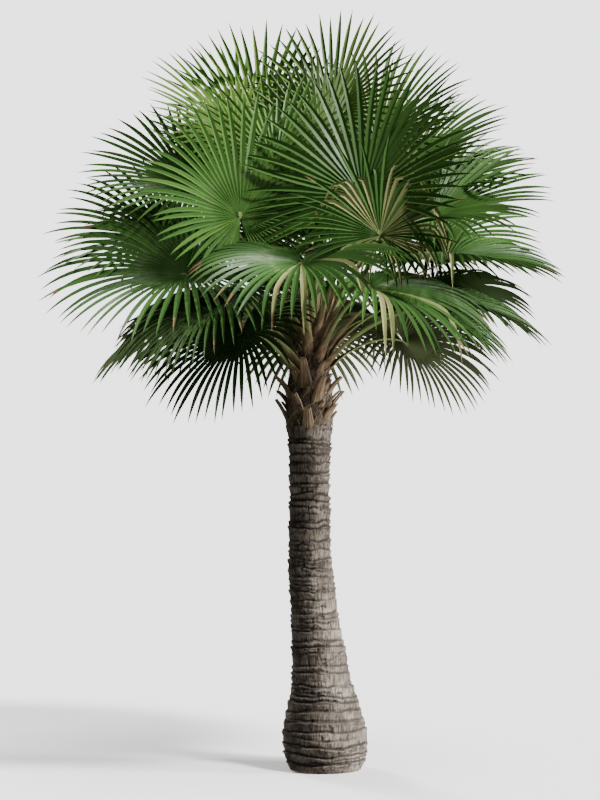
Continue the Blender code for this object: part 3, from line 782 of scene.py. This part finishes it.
class Centres:
    """The petioles and joined centres of all the solids, which no segment of another frond may cross."""

    def __init__(self, fronds):
        points, faces, self.owners = [], [], []
        for number, (one, foot, node) in enumerate(fronds):
            start = len(points)
            mesh = node.data
            points += [vert.co.copy() for vert in mesh.vertices]
            hub = HEART + one.hub
            petiole = [middle for t, middle, side, top in petiole_frames(one, *foot, PETIOLE_POINTS)]
            reach = (NOTCH + CENTRE_MARGIN) * one.radius
            inner = [
                (vert.co - hub).length < reach or min((vert.co - p).length for p in petiole) < PETIOLE_NEAR
                for vert in mesh.vertices
            ]
            for polygon in mesh.polygons:
                if all(inner[i] for i in polygon.vertices):
                    faces.append(tuple(start + i for i in polygon.vertices))
                    self.owners.append(number)
        self.tree = BVHTree.FromPolygons(points, faces)

    def free_share(self, path, number, start):
        """The share of a path that is clear of every other frond's centre and petiole."""
        for index in range(int(start * PATH_STEPS) + 1, PATH_STEPS):
            here, there = path[index][0], path[index + 1][0]
            span = there - here
            found = self.tree.ray_cast(here, span.normalized(), span.length)
            if found[2] is not None and self.owners[found[2]] != number:
                return index / PATH_STEPS
        return 1.0


# Finishes of a blade: its greens from the oldest to the youngest, then the others
GREENS = 5
UNDERSIDE, OLD_UNDERSIDE, DRY, BROWN_TIP = GREENS, GREENS + 1, GREENS + 2, GREENS + 3


def leaf_finishes():
    looks = (
        ("leaf_green_1", (0.032, 0.080, 0.018), 0.35),
        ("leaf_green_2", (0.037, 0.093, 0.019), 0.35),
        ("leaf_green_3", (0.047, 0.112, 0.022), 0.35),
        ("leaf_green_4", (0.066, 0.142, 0.028), 0.35),
        ("leaf_green_young", (0.110, 0.195, 0.038), 0.34),
        ("leaf_underside", (0.085, 0.135, 0.050), 0.55),
        ("leaf_underside_old", (0.105, 0.130, 0.055), 0.62),
        ("leaf_broken", (0.185, 0.200, 0.075), 0.60),
        ("leaf_tip_dry", (0.165, 0.120, 0.058), 0.75),
    )
    return [leaf_material(*look) for look in looks]


# What differs by chance from segment to segment of a blade, and the seeds' start
BLADE_SEED = 500
NOTCH_SPREAD, LENGTH_SPREAD = (0.90, 1.10), (0.93, 1.03)
VEER, DROOP_SPREAD = 0.09, (-0.08, 0.12)
TONE_STEPS = (-1, 0, 0, 0, 1)
# The shares of broken segments that are dry, and of the oldest fronds' segments that have a brown tip
DRY_SHARE, BROWN_TIP_SHARE, BROWN_TIP_TONES = 0.7, 0.16, 2
# The droop added to keep a segment clear of other fronds, and where it is cut off if none does
DROOP_CHANGES = (0.0, 0.35, -0.3, 0.8)
CLEAR_FROM, CUT_BEFORE, SHORTEST_FREE = 0.03, 0.02, 0.06


def clear_path(centres, number, notch, one, angle, length, droop, break_at, veer):
    """A segment's path, drooping so that it clears the other fronds best, and the share of it to keep."""
    kept = 0.0
    for change in DROOP_CHANGES:
        tried = segment_path(one, angle, length, droop + change, break_at, veer)
        clear = centres.free_share(tried, number, notch + CLEAR_FROM)
        if clear == 1.0:
            return tried, 1.0
        if clear > kept:
            kept, path = clear, tried
    return path, max(kept - CUT_BEFORE, notch + SHORTEST_FREE)


def fan_blade(piece, one, number, centres, tone):
    """A fan's blade: V-folded segments that share their edges out to the notches and then stand free."""
    draw = random.Random(BLADE_SEED + number)
    edges = []
    for edge in range(SEGMENTS + 1):
        angle = FULL_HALF_ANGLE * (2 * edge / SEGMENTS - 1)
        path = segment_path(one, angle, segment_length(one, angle), one.droop)
        edges.append((path, NOTCH * draw.uniform(*NOTCH_SPREAD)))
    under = OLD_UNDERSIDE if tone == 0 else UNDERSIDE
    tip_share = BROWN_TIP_SHARE if tone < BROWN_TIP_TONES else 0.0
    for index in range(SEGMENTS):
        left, right = edges[index], edges[index + 1]
        angle = FULL_HALF_ANGLE * (2 * (index + 0.5) / SEGMENTS - 1)
        base = segment_length(one, angle)
        length = base * draw.uniform(*LENGTH_SPREAD)
        veer = draw.uniform(-VEER, VEER)
        droop = one.droop + draw.uniform(*DROOP_SPREAD)
        breaks = draw.random() < one.broken
        break_at = draw.uniform(BREAK_FROM, BREAK_TO) if breaks else None
        notch = 0.5 * (left[1] + right[1]) * base / length
        path, end = clear_path(centres, number, notch, one, angle, length, droop, break_at, veer)
        shade = min(GREENS - 1, max(0, tone + draw.choice(TONE_STEPS)))
        if breaks and draw.random() < DRY_SHARE:
            shade = DRY
        tip = BROWN_TIP if draw.random() < tip_share else shade
        segment(piece, path, left, right, notch, end, (shade, under, tip))


# A segment's rings, as shares of its centre and of its free part, and its V coordinate at the notch
CENTRE_STATIONS = (0.03, 0.25, 0.5, 0.75, 1.0)
FREE_STATIONS = (0.10, 0.21, 0.32, 0.43, 0.54, 0.65, 0.76, 0.87, 0.95)
NOTCH_V = 0.3
TIP_SPANS = 2  # the spans before the tip that take the tip's finish
# Half its thickness at the hub, the notch and the tip, and how soon its pleat is full
HUB_RIB, NOTCH_RIB, TIP_RIB = 0.0022, 0.0012, 0.0006
PLEAT_GROWTH = 1.6
# How the free part widens at first, narrows to its tip and folds up
FREE_WIDER, FREE_TAPER, FREE_FOLD = 0.55, 2.2, 0.5


def segment(piece, path, left, right, notch, end, finishes):
    """One folded segment from the hub to its tip, as a closed strip."""
    shade, under, tip_shade = finishes
    rings = []
    for station in CENTRE_STATIONS:
        middle, way, side = along_path(path, station * notch)
        over = side.cross(way).normalized()
        rib = over * mix(HUB_RIB, NOTCH_RIB, station)
        raise_by = PLEAT * min(1.0, station * PLEAT_GROWTH)
        sides = []
        for edge_path, edge_notch in (left, right):
            point, edge_way, edge_side = along_path(edge_path, station * edge_notch)
            sides.append(point + edge_side.cross(edge_way).normalized() * raise_by)
        rings.append((sides[0], middle + rib, sides[1], middle - rib, NOTCH_V * station))
    spreads = [((edge - middle).dot(side), (edge - middle).dot(over)) for edge in sides]
    for station in FREE_STATIONS:
        middle, way, side = along_path(path, notch + station * (end - notch))
        side = side.normalized()
        over = side.cross(way).normalized()
        width = (1.0 + FREE_WIDER * station) * (1.0 - station**FREE_TAPER)
        rib = over * mix(NOTCH_RIB, TIP_RIB, station)
        fold = width * (1.0 + FREE_FOLD * station)
        a, b = (middle + side * wide * width + over * high * fold for wide, high in spreads)
        rings.append((a, middle + rib, b, middle - rib, mix(NOTCH_V, 1.0, station)))
    loops = []
    for a, top, b, bottom, v in rings:
        corners = (a, 0.0), (top, 0.5), (b, 1.0), (bottom, 0.5)
        loops.append([piece.add(point, u, v) for point, u in corners])
    tip_under = tip_shade if tip_shade == BROWN_TIP else under
    for step, (first, second) in enumerate(zip(loops, loops[1:])):
        at_tip = step >= len(loops) - 1 - TIP_SPANS
        upper, lower = (tip_shade, tip_under) if at_tip else (shade, under)
        for i in range(4):
            j = (i + 1) % 4
            piece.face(upper if i < 2 else lower, first[i], first[j], second[j], second[i])
    first, last = loops[0], loops[-1]
    piece.face(shade, first[2], first[1], first[0], first[3])
    tip = piece.add(along_path(path, end)[0], 0.5, 1.0)
    for i in range(4):
        piece.face(tip_shade if i < 2 else tip_under, last[i], last[(i + 1) % 4], tip)


# A petiole's section, as shares of half its width and half its thickness
UPPER_SIDE = ((-1.0, 0.70), (-0.55, 0.38), (0.0, 0.26), (0.55, 0.38), (1.0, 0.70))
LOWER_SIDE = ((0.92, -0.10), (0.55, -0.75), (0.0, -1.0), (-0.55, -0.75), (-0.92, -0.10))
PETIOLE_SECTION = UPPER_SIDE + LOWER_SIDE
STALK_SPANS = 18
# The spans where a petiole takes its next finish, from its brown foot to its green end
GREENING = (2, 3, 4, 5, 7)
THORNS = len(GREENING) + 1
# How far up its foot clasps the stem, and how much wider and thicker it is there
CLASP_TO, CLASP_WIDER, CLASP_THICKER = 0.36, 1.5, 0.4
# Its end in the blade: how far on, how wide beside the petiole's end, and how far up
STALK_ENDS = ((0.020, 1.35, 0.004), (0.042, 1.15, 0.006), (0.062, 0.55, 0.004), (0.072, 0.12, 0.000))
STALK_V = 12.0
# Thorns: seed, the part of the petiole they stand on, and the way from pair to pair
THORN_SEED = 900
THORNS_FROM, THORNS_TO = 0.14, 0.78
THORN_STEP, THORN_STEP_SPREAD = 0.022, (0.8, 1.3)
THORN_LENGTHS, THORN_SPREAD = (0.013, 0.006), (0.7, 1.2)
THORN_SINK, THORN_RAISED = 0.0012, 0.25
THORN_HALF_WIDTH, THORN_THICKNESS = 0.0035, 0.003
THORN_BACK, THORN_UP = 0.35, 0.25


def stalk_ring(middle, side, top, width, thick):
    """The petiole's section about its middle, for half its width and half its thickness."""
    return [middle + side * u * width + top * v * thick for u, v in PETIOLE_SECTION][::-1]


def petiole(piece, one, foot, number):
    """A frond's stalk: hollowed above, rounded below, wider at its foot, with short thorns on both edges."""
    frames = petiole_frames(one, *foot, STALK_SPANS)
    rings = []
    for t, middle, side, top in frames:
        clasp = 1.0 - smoothstep(0.0, CLASP_TO, t)
        width = mix(*PETIOLE_WIDTH, t) / 2 * (1.0 + CLASP_WIDER * clasp)
        thick = mix(*PETIOLE_THICKNESS, t) / 2 * (1.0 + CLASP_THICKER * clasp)
        rings.append(stalk_ring(middle, side, top, width, thick))
    along, across, over = fan_axes(one)
    hub = HEART + one.hub
    for forward, wide, up in STALK_ENDS:
        width = PETIOLE_WIDTH[1] / 2 * wide
        thick = PETIOLE_THICKNESS[1] / 2 * min(1.0, wide)
        rings.append(stalk_ring(hub + along * forward + over * up, across, over, width, thick))
    start = len(piece.faces)
    piece.tube(rings, len(GREENING), STALK_V)
    around = len(PETIOLE_SECTION)
    for span in range(STALK_SPANS):
        finish = sum(span >= change + number % 3 - 1 for change in GREENING)
        first = start + span * around
        piece.finishes[first : first + around] = [finish] * around
    thorns(piece, frames, number)


def thorns(piece, frames, number):
    """Pairs of short thorns along both edges of a petiole, shorter towards its blade and pointing back."""
    draw = random.Random(THORN_SEED + number)
    place = THORNS_FROM
    while place < THORNS_TO:
        index = min(int(place * STALK_SPANS), STALK_SPANS - 1)
        rest = place * STALK_SPANS - index
        here, there = frames[index][1:], frames[index + 1][1:]
        middle, side, top = (a.lerp(b, rest) for a, b in zip(here, there))
        way = (there[0] - here[0]).normalized()
        half = mix(*PETIOLE_WIDTH, place) / 2
        size = mix(*THORN_LENGTHS, place) * draw.uniform(*THORN_SPREAD)
        for sign in (-1, 1):
            root = middle + side * sign * (half - THORN_SINK) + top * half * THORN_RAISED
            peak = root + side * sign * size - way * size * THORN_BACK + top * size * THORN_UP
            foot = way * THORN_HALF_WIDTH
            corners = (root + foot, root - foot, root + top * THORN_THICKNESS, peak)
            a, b, c, d = (piece.add(point) for point in corners)
            for face in ((a, b, d), (b, c, d), (c, a, d), (a, c, b)):
                piece.face(THORNS, *face)
        place += THORN_STEP * draw.uniform(*THORN_STEP_SPREAD)


def petiole_finishes():
    return [
        strap_material("petiole_foot", (0.070, 0.045, 0.024), (0.32, 0.225, 0.125)),
        strap_material("petiole_tan", (0.090, 0.062, 0.030), (0.31, 0.235, 0.120)),
        strap_material("petiole_ochre", (0.115, 0.090, 0.038), (0.29, 0.240, 0.110)),
        strap_material("petiole_khaki", (0.145, 0.135, 0.052), (0.26, 0.240, 0.100)),
        leaf_material("petiole_olive", (0.195, 0.205, 0.078), 0.50, 0.12),
        leaf_material("petiole_green", (0.175, 0.235, 0.074), 0.42, 0.12),
        leaf_material("petiole_thorns", (0.085, 0.065, 0.030), 0.45, 0.05),
    ]


# A frond's green goes by its height: the highest one's place among the greens, and the chance in it
YOUNGEST_TONE, TONE_SPREAD = 4.2, (-0.3, 0.7)


def fronds():
    """Every frond's blade, in two pieces, and all the petioles in one."""
    listed = list(SHOWING) + behind()
    rises = [rise_of(one.hub) for one in listed]
    lowest, highest = min(rises), max(rises)
    youths = [(rise - lowest) / (highest - lowest) for rise in rises]
    placed = []
    for number, (one, youth) in enumerate(zip(listed, youths)):
        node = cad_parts[f"frond_{number + 1:02d}"]
        placed.append((*standing(one, node, mix(PETIOLE_FROM, PETIOLE_TO, youth)), node))
    centres = Centres(placed)
    finishes = leaf_finishes()
    stalks = Piece()
    groups = (("fan_blades_front", 0, len(SHOWING)), ("fan_blades_behind", len(SHOWING), len(placed)))
    for name, first, last in groups:
        blades = Piece()
        for number in range(first, last):
            one, foot, node = placed[number]
            tone = int(youths[number] * YOUNGEST_TONE + random.Random(number).uniform(*TONE_SPREAD))
            fan_blade(blades, one, number, centres, min(GREENS - 1, max(0, tone)))
            petiole(stalks, one, foot, number)
        nodes = [node.name for one, foot, node in placed[first:last]]
        blades.finished(name, finishes, sharp=32.0, nodes=nodes)
    stalks.finished("petioles", petiole_finishes(), sharp=50.0)


def spear():
    """The youngest leaf, a pleated spindle that is still folded."""
    foot = stem_axis(TRUNK_TOP) + UP * SPEAR_GAP
    draw = random.Random(SPEAR_SEED)
    piece = Piece()
    count = 2 * SPEAR_PLEATS
    depth = [draw.uniform(*SPEAR_FOLDS[i % 2]) for i in range(count)]
    rings = []
    for step in range(SPEAR_SPANS + 1):
        share = step / SPEAR_SPANS
        index = next(i for i in range(len(SPEAR_OUTLINE) - 1) if share <= SPEAR_OUTLINE[i + 1][0])
        (s0, r0), (s1, r1) = SPEAR_OUTLINE[index], SPEAR_OUTLINE[index + 1]
        radius = mix(r0, r1, smoothstep(s0, s1, share))
        middle = foot + UP * SPEAR_LENGTH * share + direction(SPEAR_AZIMUTH, 0) * SPEAR_TILT * share * share
        around = [360 * i / count + SPEAR_TWIST * share for i in range(count)]
        rings.append([middle + direction(angle, 0) * radius * out for angle, out in zip(around, depth)])
    piece.tube(rings, 0, 10.0)
    material = leaf_material("spear_leaf", (0.165, 0.235, 0.065), 0.42, 0.3)
    piece.finished("spear_leaf_pleated", [material], sharp=40.0, nodes=["spear_leaf"])


# Stage

# The floor, just under the flat cut, and the wall, just inside the floor's edge
FLOOR_REACH, FLOOR_SIDES, FLOOR_GAP = 60.0, 96, 0.0005
FLOOR_SHADE = 0.80
WALL_REACH, WALL_HEIGHT = FLOOR_REACH - 0.5, 40.0
# The world's even light
SURROUND = 0.24
# The far-off, soft lights: azimuth, rise, strength and how wide each one looks
LIGHTS = {
    "key": (54.0, 50.0, 6.2, 10.0),
    "top": (60.0, 80.0, 1.8, 24.0),
    "side": (82.0, 14.0, 6.8, 12.0),
    "back": (-150.0, 34.0, 4.0, 16.0),
    "bounce": (66.0, -34.0, 2.3, 40.0),
}
# The lights that the leaves shine in
GLOSSING = ("key", "side")
# The camera: focal length and sensor in millimetres, place and aim
LENS, SENSOR = 74.6, 36.0
CAMERA_ACROSS = -0.2125
CAMERA_PLACE = Vector((CAMERA_ACROSS, -14.0, 2.3))
CAMERA_AIM = Vector((CAMERA_ACROSS, 0.0, 3.08))


def stage_object(name, bm, material):
    """A stage mesh that only the camera sees: the tree takes no light, mirror image or shadow from it."""
    mesh = bpy.data.meshes.new(name)
    bm.to_mesh(mesh)
    bm.free()
    mesh.materials.append(material)
    made = new_object(name, mesh)
    made.visible_diffuse = False
    made.visible_glossy = False
    made.visible_shadow = False


def floor():
    """A pale round floor."""
    material, tree, shader = plain_material("floor", (FLOOR_SHADE,) * 3, 1.0)
    put(tree, shader, {"Specular IOR Level": 0.0})
    bm = bmesh.new()
    place = Matrix.Translation((0.0, 0.0, -FLOOR_GAP))
    bmesh.ops.create_circle(bm, cap_ends=True, segments=FLOOR_SIDES, radius=FLOOR_REACH, matrix=place)
    stage_object("floor", bm, material)


def backdrop():
    """A wall far round the floor, which glows just as brightly as the floor is lit."""
    falling = 0.0
    for azimuth, rise, power, width in LIGHTS.values():
        falling += power * max(0.0, math.sin(math.radians(rise)))
    glow = FLOOR_SHADE * (SURROUND + falling / math.pi)
    material, tree, shader = plain_material("backdrop", (0.0, 0.0, 0.0), 1.0)
    put(tree, shader, {"Emission Color": (1.0, 1.0, 1.0), "Emission Strength": glow})
    bm = bmesh.new()
    place = Matrix.Translation((0.0, 0.0, WALL_HEIGHT / 2))
    sizes = {"radius1": WALL_REACH, "radius2": WALL_REACH, "depth": WALL_HEIGHT}
    bmesh.ops.create_cone(bm, cap_ends=False, segments=FLOOR_SIDES, matrix=place, **sizes)
    stage_object("backdrop", bm, material)


def lights():
    """The sun lamps, and the world's even light from everywhere."""
    for name, (azimuth, rise, power, width) in LIGHTS.items():
        data = bpy.data.lights.new(name, "SUN")
        data.energy = power
        data.angle = math.radians(width)
        made = new_object(name, data)
        made.rotation_euler = direction(azimuth, rise).to_track_quat("Z", "Y").to_euler()
        made.visible_glossy = name in GLOSSING
    world = bpy.data.worlds.new("surround")
    world.use_nodes = True
    tree = world.node_tree
    put(tree, tree.nodes["Background"], {"Color": (1.0, 1.0, 1.0), "Strength": SURROUND})
    bpy.context.scene.world = world


def camera():
    """The viewer of the photo, who looks up a little at the crown."""
    data = bpy.data.cameras.new("camera")
    data.sensor_width = SENSOR
    data.lens = LENS
    made = new_object("camera", data)
    made.location = CAMERA_PLACE
    made.rotation_euler = (CAMERA_AIM - made.location).to_track_quat("-Z", "Y").to_euler()
    bpy.context.scene.camera = made


bark()
leaf_bases()
fibres()
fronds()
spear()
floor()
backdrop()
lights()
camera()
